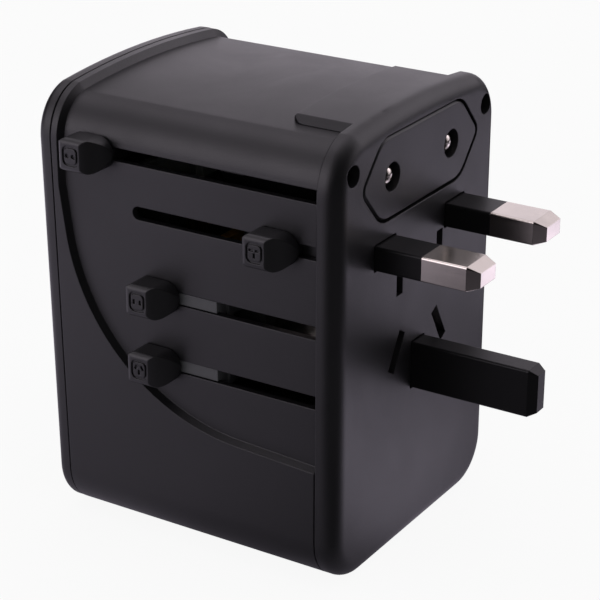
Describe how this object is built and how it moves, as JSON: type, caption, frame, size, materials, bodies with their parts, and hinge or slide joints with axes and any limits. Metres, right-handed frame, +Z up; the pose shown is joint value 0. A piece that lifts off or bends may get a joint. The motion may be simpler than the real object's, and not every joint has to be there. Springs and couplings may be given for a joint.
{
  "type": "universal travel adapter",
  "caption": "Block-shaped black travel adapter with sliding thumb knobs for pull-out plug pins, a shuttered universal socket at the rear and charging ports in its end.",
  "frame": {"origin": "centre of the flat port end that the adapter stands on", "axes": "+X the way the plug pins point, -Y the side with the thumb sliders, +Z up from the port end to the Euro plug"},
  "size_m": [0.077, 0.0533, 0.0743],
  "materials": {
    "case_black": "fine moulded texture, satin black",
    "knob_black": "satin black",
    "slider_grey": "satin grey",
    "sleeve_black": "smooth black insulation",
    "pin_nickel": "satin nickel plating",
    "screw_steel": "black oxide",
    "inner_white": "plain moulded",
    "contact_brass": "bright",
    "spring_steel": "drawn wire",
    "fuse_amber": "dipped resin",
    "board_green": "solder mask",
    "port_steel": "nickel plated sheet",
    "insert_black": "plain moulded",
    "ferrite_dark": "sintered",
    "winding_tape": "polyester tape",
    "capacitor_can": "sleeved can",
    "choke_copper": "enamelled winding"
  },
  "bodies": {
    "housing": {"front_cover": "case_black", "main_housing": "case_black", "rear_cover": "case_black", "cover_screws": "screw_steel", "socket_carrier": "insert_black", "shutter_springs": "spring_steel", "live_contact": "contact_brass", "neutral_contact": "contact_brass", "resettable_fuse": "fuse_amber", "divider_plate": "insert_black", "charger_board": "board_green", "usb_c_shells": "port_steel", "usb_c_inserts": "insert_black", "usb_a_shells": "port_steel", "usb_a_inserts": "inner_white", "transformer_core": "ferrite_dark", "transformer_winding": "winding_tape", "bulk_capacitors": "capacitor_can", "filter_choke": "choke_copper"},
    "eu_block": {"eu_block": "case_black"},
    "eu_plug": {"eu_pins": "pin_nickel", "eu_pin_sleeves": "sleeve_black", "eu_carriage": "knob_black", "eu_knob": "knob_black"},
    "uk_plug": {"uk_pins": "pin_nickel", "uk_pin_sleeves": "sleeve_black", "uk_earth_pin": "sleeve_black", "uk_carriage": "knob_black", "uk_knob": "knob_black"},
    "us_plug": {"us_blades": "pin_nickel", "us_carriage": "slider_grey", "us_knob": "knob_black"},
    "au_plug": {"au_blades": "pin_nickel", "au_carriage": "slider_grey", "au_knob": "knob_black"},
    "shutter": {"socket_shutter": "inner_white"}
  },
  "joints": [
    {"name": "eu_block_slide", "type": "slide", "parent": "housing", "child": "eu_block", "axis": [1, 0, 0], "range_m": [0, 0.0173]},
    {"name": "eu_pin_slide", "type": "slide", "parent": "eu_block", "child": "eu_plug", "axis": [1, 0, 0], "range_m": [0, 0.0193]},
    {"name": "uk_slide", "type": "slide", "parent": "housing", "child": "uk_plug", "axis": [1, 0, 0], "range_m": [-0.023, 0]},
    {"name": "us_slide", "type": "slide", "parent": "housing", "child": "us_plug", "axis": [1, 0, 0], "range_m": [0, 0.018]},
    {"name": "au_slide", "type": "slide", "parent": "housing", "child": "au_plug", "axis": [1, 0, 0], "range_m": [0, 0.018]},
    {"name": "shutter_slide", "type": "slide", "parent": "housing", "child": "shutter", "axis": [0, 0, -1], "range_m": [0, 0.0088], "stiffness_N_per_m": 60, "springref_m": -0.004, "deforming": ["shutter_springs"]}
  ]
}
